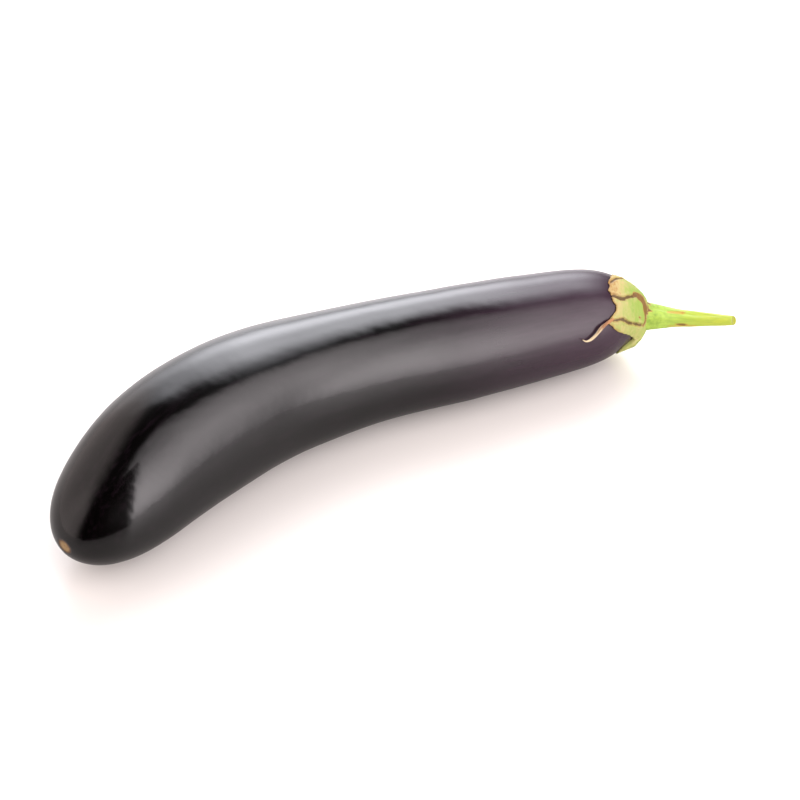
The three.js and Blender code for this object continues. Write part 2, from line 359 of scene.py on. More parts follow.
def travelled(route: Array) -> Array:
    """The distance from the first point of a route to each of its points, leg by leg."""
    return np.concatenate([[0], np.cumsum(np.linalg.norm(np.diff(route, axis=0), axis=-1))])


def clearance(points: Array, strokes: Sequence[Stroke]) -> Array:
    """How far each point is from the edge of the nearest stroke.

    It is the least distance to the strokes' points, less the half width there. It is worked
    out in blocks, which take little memory.

    Args:
        points: The points, with any number of axes before the last.
        strokes: The strokes.

    Returns:
        The distance, up to a most past which it doesn't matter, and negative in a stroke.
    """
    most, block_size = 14.0, 4000
    samples = np.concatenate([stroke.points for stroke in strokes])
    widths = np.concatenate([stroke.half_widths for stroke in strokes])
    flat = points.reshape(-1, 3)
    nearest = np.empty(len(flat))
    for block in np.array_split(np.arange(len(flat)), max(len(flat) // block_size, 1)):
        apart = np.linalg.norm(flat[block, None] - samples[None], axis=-1) - widths
        nearest[block] = np.minimum(apart.min(1), most)
    return nearest.reshape(points.shape[:-1])


# ---- finishes


def linear(colour: str) -> tuple[float, float, float, float]:
    """Turns an sRGB colour into light.

    Args:
        colour: The colour as # and six hex digits.

    Returns:
        Linear red, green, blue and 1.
    """
    parts = np.array([int(colour[i : i + 2], 16) for i in (1, 3, 5)]) / 255
    light = np.where(parts <= 0.04045, parts / 12.92, ((parts + 0.055) / 1.055) ** 2.4)
    return (*light.tolist(), 1.0)


class Recipe:
    """A node tree that is filled a node at a time."""

    def __init__(self, tree: bpy.types.NodeTree) -> None:
        """Starts from an empty tree."""
        self.tree = tree
        tree.nodes.clear()

    def add(
        self,
        kind: str,
        inputs: dict | Sequence = (),
        stops: Stops = (),
        **settings: object,
    ) -> Node:
        """Adds a node with its settings and links.

        Args:
            kind: Blender's name of the node's type, after "ShaderNode".
            inputs: What goes into each input, in order or by their names: a node for its
                first output, an output, a hex colour or a plain value.
            stops: The places and hex colours of a colour ramp.
            settings: The node's own settings, by their names.

        Returns:
            The node.
        """
        node = self.tree.nodes.new("ShaderNode" + kind)
        for name, value in settings.items():
            setattr(node, name, value)
        for i, (at, colour) in enumerate(stops):
            ramp = node.color_ramp.elements
            stop = ramp[i] if i < len(ramp) else ramp.new(at)
            stop.position = at
            stop.color = linear(colour)
        for key, value in inputs.items() if isinstance(inputs, dict) else enumerate(inputs):
            enabled = [socket for socket in node.inputs if socket.enabled]
            named = [socket for socket in enabled if socket.name == key]
            socket = named[0] if named else enabled[key]
            if isinstance(value, Node):
                value = next(output for output in value.outputs if output.enabled)
            if isinstance(value, bpy.types.NodeSocket):
                self.tree.links.new(value, socket)
            else:
                socket.default_value = linear(value) if isinstance(value, str) else value
        return node


@dataclass(frozen=True)
class Grain:
    """A noise pattern: its width in millimetres, its detail and how it is drawn out."""

    width: float
    detail: float
    scale: tuple[float, float, float] = (1, 1, 1)
    roughness: float = 0.5


@dataclass(frozen=True)
class Band:
    """A soft band along lines.

    It has the name of the mask with the distance from the lines, the distances where it is
    full and where it is gone, its tone and how far it covers what is below it.
    """

    mask: str
    full: float
    gone: float
    tone: str
    cover: float


class Painting(Recipe):
    """A material in the making, with the masks that it reads from its piece."""

    def __init__(self, name: str, masks: Sequence[str] = ()) -> None:
        """Starts the material and reads the masks.

        Args:
            name: The name of the material.
            masks: The names of the masks.
        """
        self.material = bpy.data.materials.new(name)
        self.material.use_nodes = True
        super().__init__(self.material.node_tree)
        self.masks = {
            mask: self.add("Attribute", attribute_name=mask).outputs["Fac"] for mask in masks
        }

    def grained(self, grain: Grain) -> Node:
        """Spreads a noise pattern over the piece, on its points as if it were straight.

        Args:
            grain: The pattern.

        Returns:
            The noise.
        """
        straight = self.add("Attribute", attribute_name="straight").outputs["Vector"]
        drawn_out = self.add("Mapping", {"Vector": straight, "Scale": grain.scale})
        return self.add("TexNoise", {
            "Vector": drawn_out, "Scale": 1 / (grain.width * METRES), "Detail": grain.detail,
            "Roughness": grain.roughness,
        })

    def uneven(self, value: object, noise: Node, most: float) -> Node:
        """A value plus a noise, whose usual range is spread to go from -most to most."""
        spread = self.add("MapRange", [noise, 0.3, 0.7, -most, most])
        return self.add("Math", [value, spread], operation="ADD")

    def layered(self, colour: object, *layers: tuple[object, object]) -> Node:
        """Lays tones over a colour one after another.

        Args:
            colour: The colour underneath.
            layers: How far each tone covers what is below it, from 0 to 1, and the tone.

        Returns:
            The colour that results.
        """
        for cover, tone in layers:
            colour = self.add("Mix", [cover, colour, tone], data_type="RGBA")
        return colour

    def banded(self, colour: Node, noise: Node, wander: float, bands: Sequence[Band]) -> Node:
        """Lays bands over a colour one after another.

        Args:
            colour: The colour underneath.
            noise: The noise that the edges of the bands wander with.
            wander: How far they wander, in millimetres.
            bands: The bands.

        Returns:
            The colour that results.
        """
        for band in bands:
            distance = self.uneven(self.masks[band.mask], noise, wander)
            cover = self.add("MapRange", [
                distance, band.full, band.gone, band.cover, 0.0,
            ], interpolation_type="SMOOTHSTEP")
            colour = self.layered(colour, (cover, band.tone))
        return colour

    def finished(self, kind: str, inputs: dict) -> bpy.types.Material:
        """The material, with a shader of a kind and its inputs on its surface."""
        self.add("OutputMaterial", {"Surface": self.add(kind, inputs)})
        return self.material


@dataclass(frozen=True)
class Finish:
    """A finish, whose grain also dents the surface.

    The dent is the depth of the grain in millimetres, and the dent share is how far the
    surface follows it.
    """

    name: str
    masks: tuple[str, ...]
    grain: Grain
    dent: float
    dent_share: float = 0.6

    def material(self) -> bpy.types.Material:
        """Makes the dents and the finish's own look.

        Returns:
            The material.
        """
        painting = Painting(self.name, self.masks)
        grain = painting.grained(self.grain)
        dents = painting.add("Bump", {
            "Height": grain, "Strength": self.dent_share, "Distance": self.dent * METRES,
        })
        look = {"Normal": dents, **self.look(painting, grain)}
        return painting.finished("BsdfPrincipled", look)

    def look(self, painting: Painting, grain: Node) -> dict[str, object]:
        """What makes the finish look as it does.

        Args:
            painting: The material in the making.
            grain: The grain.

        Returns:
            What goes into the shader's inputs, by their names.
        """
        raise NotImplementedError


@dataclass(frozen=True)
class WaxySkin(Finish):
    """Ripe eggplant skin, grown under its own thin natural wax.

    The deep violet reads as black, and the wax gives clear reflections. Towards the neck the
    wax turns to a fine bloom, so the skin there is greyer and its reflections are soft. The
    scar is blotched tan cork in a dark ring. Gloss and roughness are of wax and of bloom. The
    spans of ring, cork and blotches are where in their mask or noise they begin and are full.
    """

    name: str = "waxy eggplant skin"
    masks: tuple[str, ...] = ("haze", "scar")
    grain: Grain = Grain(1.1, 2)
    dent: float = 0.006
    dent_share: float = 1.0
    streaks: Grain = Grain(1.6, 3, (0.12, 1, 1))
    streakiness: float = 0.1
    clouds: Grain = Grain(16, 2)
    cloudiness: float = 0.02
    ripe: str = "#030202"
    bloom: str = "#352430"
    scar: str = "#94774e"
    scar_ring: str = "#4a3328"
    ring_span: tuple[float, float] = (0.02, 0.4)
    cork_span: tuple[float, float] = (0.2, 0.9)
    blotches_span: tuple[float, float] = (0.45, 0.75)
    blotches_cover: float = 0.6
    wax_ior: float = 1.5
    gloss: tuple[float, float] = (0.5, 0.35)
    roughness: tuple[float, float] = (0.13, 0.24)
    scar_roughness: float = 0.75

    def look(self, painting: Painting, grain: Node) -> dict[str, object]:
        """Colour, roughness and gloss go from wax to bloom with the haze mask.

        Args:
            painting: The material in the making.
            grain: The grain.

        Returns:
            What goes into the shader's inputs.
        """
        add = painting.add
        haze, scar = painting.masks["haze"], painting.masks["scar"]
        ring = add("MapRange", [scar, *self.ring_span])
        centre = add("MapRange", [scar, *self.cork_span])
        blotches = add("MapRange", [grain, *self.blotches_span, 0.0, self.blotches_cover])
        cork = painting.layered(self.scar, (blotches, self.scar_ring))
        streaky = painting.uneven(haze, painting.grained(self.streaks), self.streakiness)
        colour = painting.layered(
            self.ripe, (streaky, self.bloom), (ring, self.scar_ring), (centre, cork)
        )
        gloss, wax = (
            add("MapRange", [haze, 0.0, 1.0, *levels])
            for levels in (self.gloss, self.roughness)
        )
        cloudy = painting.uneven(wax, painting.grained(self.clouds), self.cloudiness)
        rough = add("Mix", [ring, cloudy, self.scar_roughness])
        return {
            "Base Color": colour, "Roughness": rough, "IOR": self.wax_ior,
            "Specular IOR Level": gloss,
        }


@dataclass(frozen=True)
class LeafyCalyx(Finish):
    """A fresh calyx that dries at its edges.

    Fleshy and yellow-green near the stem, it goes cream, then tan and brown where it has
    dried, with fine creases across it.
    """

    name: str = "fleshy calyx leaf"
    masks: tuple[str, ...] = ("dry", "edge_mm", "split_mm", "torn_mm", "dark_mark_mm")
    grain: Grain = Grain(0.9, 4, (1, 0.3, 0.3))
    dent: float = 0.12
    blotches: Grain = Grain(2.6, 4, roughness=0.6)
    unevenness: tuple[float, float] = (0.2, 0.12)
    wander: float = 0.3
    tan: str = "#a07a40"
    drying: Stops = ((0.1, "#889e41"), (0.5, "#a3a25c"), (0.8, "#b5a16a"), (1.0, tan))
    bands: Sequence[Band] = (
        Band("edge_mm", 0.1, 1.2, tan, 0.65),
        # Darker green along the short strokes of the dark marks.
        Band("dark_mark_mm", -0.1, 0.5, "#4f6a2c", 0.7),
        Band("split_mm", 0.1, 0.9, tan, 0.6),
        Band("split_mm", -0.1, 0.35, "#4f3713", 0.9),
        Band("torn_mm", 0.0, 0.5, tan, 0.8),
        Band("torn_mm", -0.35, 0.12, "#765424", 1.0),
    )
    roughness: float = 0.55

    def look(self, painting: Painting, grain: Node) -> dict[str, object]:
        """The dryness goes through a ramp, and edge, splits and tears are bands over it.

        Args:
            painting: The material in the making.
            grain: The grain.

        Returns:
            What goes into the shader's inputs.
        """
        blotches = painting.grained(self.blotches)
        dryness = painting.masks["dry"]
        for noise, most in zip((blotches, grain), self.unevenness):
            dryness = painting.uneven(dryness, noise, most)
        colour = painting.add("ValToRGB", [dryness], stops=self.drying)
        colour = painting.banded(colour, blotches, self.wander, self.bands)
        return {"Base Color": colour, "Roughness": self.roughness}


@dataclass(frozen=True)
class StemTissue(Finish):
    """A fresh, fibrous stem with a thin waxy bark.

    Bright yellow-green with lengthwise fibres, it has corky tan scars and a pale pith inside a
    grey-brown rim where it was cut. The spans of fibres and patches are where in their noise
    they begin and are full, and the covers how far they then cover what is below them.
    """

    name: str = "fresh stem bark"
    masks: tuple[str, ...] = ("tip", "foot", "cork_mm", "scar_mm", "torn_mm", "cut", "rim")
    grain: Grain = Grain(0.7, 4, (0.12, 1, 1))
    dent: float = 0.08
    blotches: Grain = Grain(2.2, 4, roughness=0.6)
    wander: float = 0.35
    green: str = "#a7c34b"
    yellow: str = "#b0bb3a"
    mottle: str = "#7f9f3a"
    fibres_span: tuple[float, float] = (0.42, 0.66)
    fibres_cover: float = 0.4
    patches_span: tuple[float, float] = (0.5, 0.62)
    patches_cover: float = 0.7
    cork: str = "#bd923c"
    bands: Sequence[Band] = (
        Band("cork_mm", -0.2, 0.35, cork, 0.75),
        Band("scar_mm", 0.0, 0.5, cork, 0.6),
        Band("scar_mm", -0.3, 0.15, "#6b5120", 0.85),
        Band("torn_mm", 0.0, 0.35, cork, 0.7),
        Band("torn_mm", -0.2, 0.1, "#765424", 1.0),
    )
    pith: str = "#989b26"
    cut_rim: str = "#7d763a"
    roughness: float = 0.42

    def look(self, painting: Painting, grain: Node) -> dict[str, object]:
        """Yellower to the cut and mottled at the foot, with scars and the cut laid over.

        Args:
            painting: The material in the making.
            grain: The grain.

        Returns:
            What goes into the shader's inputs.
        """
        add, masks = painting.add, painting.masks
        blotches = painting.grained(self.blotches)
        fibres = add("MapRange", [grain, *self.fibres_span, 0.0, self.fibres_cover])
        patches = add("MapRange", [blotches, *self.patches_span, 0.0, self.patches_cover])
        patches = add("Math", [patches, masks["foot"]], operation="MULTIPLY")
        colour = painting.layered(
            self.green,
            (masks["tip"], self.yellow), (fibres, self.mottle), (patches, self.mottle),
        )
        colour = painting.banded(colour, grain, self.wander, self.bands)
        colour = painting.layered(
            colour, (masks["cut"], self.pith), (masks["rim"], self.cut_rim)
        )
        return {"Base Color": colour, "Roughness": self.roughness}


@dataclass(frozen=True)
class DriedLobe(Finish):
    """The dried tip of a calyx lobe: brown fibre at its root, bleached cream at its end."""

    name: str = "dried calyx fibre"
    masks: tuple[str, ...] = ("along",)
    grain: Grain = Grain(0.5, 3, (0.2, 1, 1))
    dent: float = 0.06
    streakiness: float = 0.15
    bleaching: Stops = ((0.02, "#ad7847"), (0.3, "#875b38"), (0.62, "#cbb793"))
    roughness: float = 0.6

    def look(self, painting: Painting, grain: Node) -> dict[str, object]:
        """The colour runs with the along mask, streaked by the grain.

        Args:
            painting: The material in the making.
            grain: The grain.

        Returns:
            What goes into the shader's inputs.
        """
        place = painting.uneven(painting.masks["along"], grain, self.streakiness)
        colour = painting.add("ValToRGB", [place], stops=self.bleaching)
        return {"Base Color": colour, "Roughness": self.roughness}


# ---- parts


class Part:
    """A part of the eggplant, which knows its finish, its slot and the node it stands for."""

    finish: type[Finish]
    slot: Slot
    node: str

    def dress(self, piece: bpy.types.Object) -> None:
        """Gives the piece its finish and its place in the frame.

        Args:
            piece: The piece as it was built.
        """
        piece.data.materials.append(self.finish().material())
        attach(piece, "root")
        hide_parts(self.node)


@dataclass
class Fruit(Part):
    """The fruit: a bent body of nearly round section that rests on a narrow flat.

    Stations are a share of the axis, from the blossom end to the neck end, and a radius, a
    heading or a height. A skin wave is a height and how much its phase turns with the angle
    and with the share. Ripples are a seed, their shortest and longest waves and a height.
    """

    finish = WaxySkin
    slot = Slot.SKIN
    node = "fruit"

    axis_length: float = 280.0
    radius_stations: Stations = (
        (0, 0), (0.03, 14.5), (0.1, 23.3), (0.22, 28.3), (0.38, 28), (0.55, 25.1),
        (0.72, 23.8), (0.86, 21.5), (0.94, 17.7), (0.98, 10.7), (1, 0),
    )
    heading_stations: Stations = (
        (0, 35), (0.25, 17), (0.5, -3.5), (0.75, -10.8), (0.9, -13.3), (1, -38.5),
    )
    height_stations: Stations = (
        (0, 24.7), (0.1, 24.8), (0.22, 27.8), (0.38, 27.5), (0.55, 24.6), (0.72, 23.3),
        (0.86, 21.8), (1, 20.3),
    )
    skin_waves: Stations = ((0.28, 3, 4), (0.16, 2, -9), (0.14, 1, 31))
    waves_shares: tuple[float, float] = (0.12, 0.9)
    ripples: Stations = ((11, 11, 30, 0.024), (12, 3.2, 8, 0.006))
    ripples_share: float = 0.05
    scar_centre: tuple[float, float] = (3.2, -0.6)
    scar_depth: float = 0.35
    dimple_radii: tuple[float, float] = (1.6, 4.0)
    cork_radii: tuple[float, float] = (1.2, 4.0)
    haze_reaches: tuple[float, float] = (10.0, 150.0)
    haze_power: float = 1.5
    rows: int = 400
    columns: int = 232

    def __post_init__(self) -> None:
        """Makes the splines, walks the axis and moves it so that the skin fits the CAD's."""
        self.radius_squared = Spline([(at, radius**2) for at, radius in self.radius_stations])
        heading = Spline(self.heading_stations, self.axis_length)
        height = Spline(self.height_stations, self.axis_length)
        self.axis = Path(np.zeros(2), 0, self.axis_length, heading, height)
        share, angle = np.meshgrid(closing(self.rows), np.arange(0, 360, 3), indexing="ij")
        skin = self.surface(share, angle).reshape(-1, 3)
        low, high = (np.array(corner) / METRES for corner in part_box("fruit"))
        self.axis.ground += ((low + high - skin.min(0) - skin.max(0)) / 2)[:2]

    def share_at(self, reach: Array) -> Array:
        """The share of the axis at a reach back from the neck end."""
        return 1 - reach / self.axis_length

    def radius(self, share: Array) -> Array:
        """The radius: its square is what runs smoothly, so both ends come out round."""
        return np.sqrt(np.maximum(self.radius_squared(share), 0))

    def relief(self, share: Array, angle: Array) -> Array:
        """How far the skin stands proud of a round section.

        Soft waves wind round the fruit, each height times the cosine of round times the
        angle plus along times the share, and fade at both ends. The scar is a dimple.

        Args:
            share: Shares of the axis.
            angle: Angles, of the same shape.

        Returns:
            The relief at each point.
        """
        start, end = self.waves_shares
        fade = smooth(share, 0, start) * (1 - smooth(share, end, 1))
        waves = sum(
            height * np.cos(turns * np.radians(angle) + along * share)
            for height, turns, along in self.skin_waves
        )
        return fade * waves - self.scar_depth * self.on_scar(share, angle, self.dimple_radii)

    def on_scar(self, share: Array, angle: Array, radii: tuple[float, float]) -> Array:
        """1 at the middle of the scar, in the blossom half, fading to 0 between two radii."""
        off = np.linalg.norm(self.straight(share, angle)[..., 1:] - self.scar_centre, axis=-1)
        return np.where(share < 0.5, 1 - smooth(off, *radii), 0)

    def straight(self, share: Array, angle: Array) -> Array:
        """The point as if the fruit were straight: the place along, then across and up."""
        return rolled_out(share * self.axis_length, self.radius(share), np.radians(angle))

    def surface(self, share: Array, angle: Array, lift: Array | float = 0.0) -> Array:
        """The skin, raised along its normal.

        It is the axis point plus the radius times the direction across, plus the relief and
        the lift along the normal. The normal is the radius across less half the slope of the
        squared radius along.

        Args:
            share: Shares of the axis.
            angle: Angles.
            lift: How far each point is raised.

        Returns:
            The points.
        """
        share, angle = np.broadcast_arrays(np.asarray(share, float), np.asarray(angle, float))
        section = self.axis.at(share * self.axis_length)
        out = section.across(angle)
        radius = self.radius(share)[..., None]
        step = 0.001
        before, after = np.maximum(share - step, 0), np.minimum(share + step, 1)
        rise = self.radius_squared(after) - self.radius_squared(before)
        slope = (rise / (after - before) / 2 / self.axis_length)[..., None]
        normal = unit(out * radius - section.along * slope)
        raised = (lift + self.relief(share, angle))[..., None]
        return section.point + out * radius + normal * raised

    def build(self) -> bpy.types.Object:
        """Builds the skin with its ripples, pressed flat where it lies.

        Returns:
            The skin, with its haze and its scar as masks.
        """
        turns = np.arange(self.columns) * 360 / self.columns
        share, angle = np.meshgrid(closing(self.rows), turns, indexing="ij")
        straight = self.straight(share, angle)
        ripples = sum(random_waves(straight, *ripple) for ripple in self.ripples)
        points = self.surface(share, angle, ripples * smooth(share, 0, self.ripples_share))
        points[..., 2] = np.maximum(points[..., 2], 0)
        reach = (1 - share) * self.axis_length
        scar = self.on_scar(share, angle, self.cork_radii)
        haze = (1 - smooth(reach, *self.haze_reaches)) ** self.haze_power
        return closed_mesh("fruit_skin", points, straight, {"haze": haze, "scar": scar})


@dataclass
class Calyx(Part):
    """The leafy cap on the neck with its torn edge.

    Stations are an angle and a reach, mostly with a half width. A rag is a seed, how many
    stations it has round the neck and a height. A curl or a fresh edge is an angle, a half
    width and a height. A swell is an angle, a half width, a reach, a half length and a height.
    Wrinkles are a seed, their shortest and longest waves and a height.
    """

    finish = LeafyCalyx
    slot = Slot.CALYX
    node = "calyx"

    fruit: Fruit
    gap: float = 0.05
    thick: float = 1.6
    edge_thick: float = 0.55
    shoulder: float = 10.0
    crowding: float = 1.7
    edge_follows: float = 0.2
    thinning: float = 3.0
    edge_stations: Stations = (
        (2, 24), (9, 27), (17, 22), (27, 15.5), (38, 11.5), (48, 11), (56, 12.6), (65, 14.7),
        (76, 16), (86, 17.2), (92.5, 18.5), (98, 18.3), (106.5, 19.2), (111.5, 18.8),
        (115.2, 18.2), (118, 18.6), (121, 18.1), (127, 17), (131.5, 16.7), (135.5, 17.2),
        (139.2, 18.7), (142.8, 20.3), (144.5, 21.3), (147, 22.6), (149.5, 22.4),
        (152.2, 21.4), (155.2, 19.8), (159.5, 18.1), (163.5, 16.4), (168, 13.4), (175, 9.9),
        (184, 7.6), (193, 6.4), (201, 5.7), (206, 5.4), (208, 6.5), (209.5, 8.5), (211, 10.8),
        (213.5, 12.2), (218, 12.8), (226, 13.2), (232, 13), (238, 12), (243, 11), (249, 11.5),
        (256, 14.5), (265, 17.5), (272, 19), (281, 16.5), (290, 13.5), (297, 11.5), (304, 16),
        (312, 21), (318, 24.5), (325, 20), (333, 15), (340, 11.5), (352, 18),
    )
    rags: Stations = ((3, 110, 0.28), (4, 330, 0.16))
    curls: Stations = ((86, 14, 0.3), (149, 8, 0.4), (318, 12, 1), (9, 12, 0.8))
    curls_shares: tuple[float, float] = (0.55, 1)
    swells: Stations = ((222, 22, 5.6, 4.4, 1.6), (80, 16, 14.6, 1.5, 0.3))
    swells_shares: tuple[float, float] = (0, 0.3)
    splits: Sequence[Stations] = (
        (
            (116, 19.5, 0.45), (114.2, 17.2, 0.6), (115.2, 15.7, 0.65), (116.8, 14.3, 0.65),
            (116.8, 12.7, 0.6), (113, 11, 0.5), (109.5, 9.5, 0.5), (106, 7.9, 0.5),
            (100, 7, 0.6),
        ),
        ((96.5, 18.6, 0.2), (90, 16.5, 0.3), (81, 14.1, 0.3), (75, 12.6, 0.25), (68, 10.6, 0.15)),
        (
            (147, 19.7, 0.3), (147.5, 17.6, 0.35), (146.5, 15.7, 0.45), (147, 13.9, 0.45),
            (150.8, 12, 0.35), (154.8, 9.6, 0.3), (156.8, 7.4, 0.3), (161.2, 5.1, 0.35),
            (166, 3.8, 0.5),
        ),
    )
    split_depth: float = 0.55
    split_slope: float = 0.45
    lip_height: float = 0.18
    lip_off: float = 0.9
    lip_width: float = 0.5
    torn: Sequence[Stations] = (
        (
            (99.8, 7.2, 0.8), (98.5, 5.5, 1.6), (96, 4.1, 2.15), (99.8, 2.9, 2.2),
            (110.5, 2.3, 2.15), (119, 2.1, 1.9), (127.5, 1.9, 1.55), (136, 1.9, 1.1),
            (146, 1.8, 0.8), (160.5, 1.7, 0.7), (170, 2.4, 0.9),
        ),
        ((145, 4.7, 0.25), (147, 4.3, 0.2)),
    )
    torn_depth: float = 0.35
    torn_slope: tuple[float, float] = (-0.25, 0.15)
    # Short strokes where the cap is painted a darker green: angle, reach and half width.
    dark_marks: Sequence[Stations] = (
        ((217, 7.6, 0.35), (218, 7.1, 0.3)),
        ((212.5, 5.2, 0.25), (213.5, 4.9, 0.25)),
        ((66, 7.4, 0.3), (70, 6.9, 0.3)),
    )
    least_dry: float = 0.12
    dried_edges: Stations = (
        (20, 0.5), (60, 0.5), (84, 0.6), (92, 0.85), (111, 0.8), (116, 0.55), (146, 0.48),
        (150, 0.4), (200, 0.3), (250, 0.4), (330, 0.5),
    )
    dries_over: tuple[float, float] = (1, 12)
    fresh_edges: Stations = ((226, 22, 4.0), (182, 14, 0.9))
    wrinkles: Sequence[float] = (21, 1.2, 4.5, 0.07)
    wrinkles_scale: tuple[float, float, float] = (1, 0.35, 0.35)
    wrinkles_shares: tuple[float, float] = (0.15, 0.5)
    outer_rows: int = 132
    rim_rows: int = 8
    inner_rows: int = 18
    columns: int = 600

    def outer(self, angle: Array, reach: Array) -> Array:
        """The plain outer face of the cap at an angle and a reach."""
        return self.fruit.surface(self.fruit.share_at(reach), angle, self.gap + self.thick)

    def edge(self, angle: Array) -> Array:
        """How far back the torn edge reaches: the stations' straight lines, made ragged."""
        plain = round_line(angle, *np.array(self.edge_stations, float).T)
        return plain + sum(ragged_round(angle, *rag) for rag in self.rags)

    def bells(self, angle: Array, lines: Stations) -> Array:
        """The sum of bells round the neck, each a middle, a half width and a height."""
        return sum(most * bell(turn_between(angle, at), width) for at, width, most in lines)

    def strokes(self, lines: Sequence[Stations]) -> list[Stroke]:
        """The lines as strokes over the outer face."""
        return [Stroke.over(self.outer, line) for line in lines]

    def dryness(self, angle: Array, edge_mm: Array) -> Array:
        """How dry the leaf is: a least plus its edge's own dryness, which fades inwards."""
        amount = round_line(angle, *np.array(self.dried_edges, float).T)
        return self.least_dry + amount * (1 - smooth(edge_mm, *self.dries_over))

    def raised(self, angle: Array, reach: Array, out: Array) -> tuple[Array, Array]:
        """How far curls and swells lift the cap.

        Each is a bell round the neck, and a swell is one along it as well.

        Args:
            angle: Angles round the neck.
            reach: Reaches back from the neck end.
            out: The shares of the way out to the edge.

        Returns:
            The lift of the curls, of both faces, and of the swells, of the outer face alone.
        """
        curls = self.bells(angle, self.curls) * smooth(out, *self.curls_shares)
        swells = sum(
            most * bell(turn_between(angle, at), width) * bell(reach - middle, length)
            for at, width, middle, length, most in self.swells
        )
        return curls, swells * smooth(out, *self.swells_shares)

    def relief(self, straight: Array, out: Array, split_mm: Array, torn_mm: Array) -> Array:
        """The low relief of the outer face: wrinkles, splits with raised lips and tears.

        Args:
            straight: The points as if the neck were straight.
            out: The shares of the way out to the edge.
            split_mm: The distances from the splits.
            torn_mm: The distances from the tears.

        Returns:
            How far each point stands proud of the smooth face.
        """
        wrinkles = random_waves(straight * self.wrinkles_scale, *self.wrinkles)
        relief = wrinkles * smooth(out, *self.wrinkles_shares)
        relief -= self.split_depth * bell(np.maximum(split_mm, 0), self.split_slope)
        relief += self.lip_height * bell(split_mm - self.lip_off, self.lip_width)
        return relief - self.torn_depth * (1 - smooth(torn_mm, *self.torn_slope))

    def build(self) -> bpy.types.Object:
        """The cap: outer face, rounded rim and inner face, in rows from pole to pole.

        Along the outer face a row's reach is the edge times its share out to the power of
        the crowding. The rim is a half round between the two faces: the side goes from 1 on
        the outer face to -1 on the inner one, and the bulge is how far out the rim stands.

        Returns:
            The cap, with the masks of its finish.
        """
        round_rim = np.linspace(0, np.pi, self.rim_rows + 2)[1:-1]
        outer, inner = np.ones(self.outer_rows), np.ones(self.inner_rows)
        side = np.concatenate([outer, np.cos(round_rim), -inner])[:, None]
        bulge = np.concatenate([0 * outer, np.sin(round_rim), 0 * inner])[:, None]
        out = np.concatenate([
            np.linspace(0, 1, self.outer_rows), np.ones(self.rim_rows),
            np.linspace(1, 0, self.inner_rows),
        ])
        turns = -np.arange(self.columns) * 360 / self.columns % 360
        out, angle = np.meshgrid(out, turns, indexing="ij")
        edge = blend(self.shoulder, self.edge(angle), smooth(out, self.edge_follows, 1))
        half = blend(self.thick, self.edge_thick, out**self.thinning) / 2
        reach = (edge - self.edge_thick / 2) * out**self.crowding + half * bulge
        share = self.fruit.share_at(reach)
        straight = self.fruit.straight(share, angle)
        plain = self.outer(angle, reach)
        rim = self.outer(turns, self.edge(turns))
        split_mm, torn_mm, dark_mark_mm, edge_mm = (
            clearance(plain, strokes) for strokes in (
                self.strokes(self.splits), self.strokes(self.torn), self.strokes(self.dark_marks),
                [Stroke(rim, np.zeros(len(rim)))],
            )
        )
        curls, swells = self.raised(angle, reach, out)
        relief = self.relief(straight, out, split_mm, torn_mm)
        lift = self.gap + half * (1 + side) + curls + swells * (1 + side) / 2
        points = self.fruit.surface(share, angle, lift + relief * np.maximum(side, 0))
        edge_mm += self.bells(angle, self.fresh_edges)
        return closed_mesh("calyx_cap", points, straight, {
            "dry": self.dryness(angle, edge_mm), "edge_mm": edge_mm, "split_mm": split_mm,
            "torn_mm": torn_mm, "dark_mark_mm": dark_mark_mm,
        })


@dataclass
class Tendril(Part):
    """The dried, curling tip of one lobe: a flattened strand that thins to its end.

    Its stations are an angle, a reach and a lift off the skin. It bulges and flattens a
    little along its length, each by a share, with so many radians of a sine from a phase.
    """

    finish = DriedLobe
    slot = Slot.CALYX
    node = "calyx"

    fruit: Fruit
    stations: Stations = (
        (145, 19.5, 1.3), (146.8, 22, 1.4), (150.5, 25.7, 1.7), (153.4, 27.8, 1.7),
        (158.8, 30.4, 1.5), (161.5, 32.1, 1.4), (163.8, 34.2, 1.3), (163.8, 35.9, 1.4),
        (160.8, 37.8, 1.8),
    )
    radii: tuple[float, float] = (1.0, 0.45)
    bluntness: float = 0.35
    flatness: float = 0.8
    unevenness: float = 0.1
    bulges: float = 19.0
    flats: tuple[float, float] = (13.0, 1.0)
    rows: int = 90
    columns: int = 28

    def build(self) -> bpy.types.Object:
        """Carries an oval section along a spline through the stations.

        The radius goes evenly from the first to the last one, and closes at both ends as the
        sine of the share of a half turn to the power of the bluntness.

        Returns:
            The strand, with its share along as a mask.
        """
        angle, reach, lift = np.array(self.stations, float).T
        share = self.fruit.share_at(reach)
        route = self.fruit.surface(share, angle, lift)
        travel = travelled(route)
        at = closing(self.rows)[:, None]
        point = Spline(np.column_stack([travel, route]))(at[:, 0] * travel[-1])
        along = unit(np.gradient(point, axis=0))
        outwards = unit(route[0] - self.fruit.surface(share[0], angle[0]))
        left = unit(np.cross(outwards, along))
        up = np.cross(along, left)
        turn = np.radians(np.arange(self.columns) * 360 / self.columns)
        radius = blend(*self.radii, at) * np.sin(np.pi * at) ** self.bluntness
        wide = radius * (1 + self.unevenness * np.sin(at * self.bulges))
        waves, phase = self.flats
        thin = radius * (self.flatness + self.unevenness * np.sin(at * waves + phase))
        across = (wide * np.cos(turn))[..., None] * left[:, None]
        proud = (thin * np.sin(turn))[..., None] * up[:, None]
        points = point[:, None] + across + proud
        straight = rolled_out(at * travel[-1], radius, turn)
        masks = {"along": np.broadcast_to(at, points.shape[:2])}
        return closed_mesh("calyx_tendril", points, straight, masks)


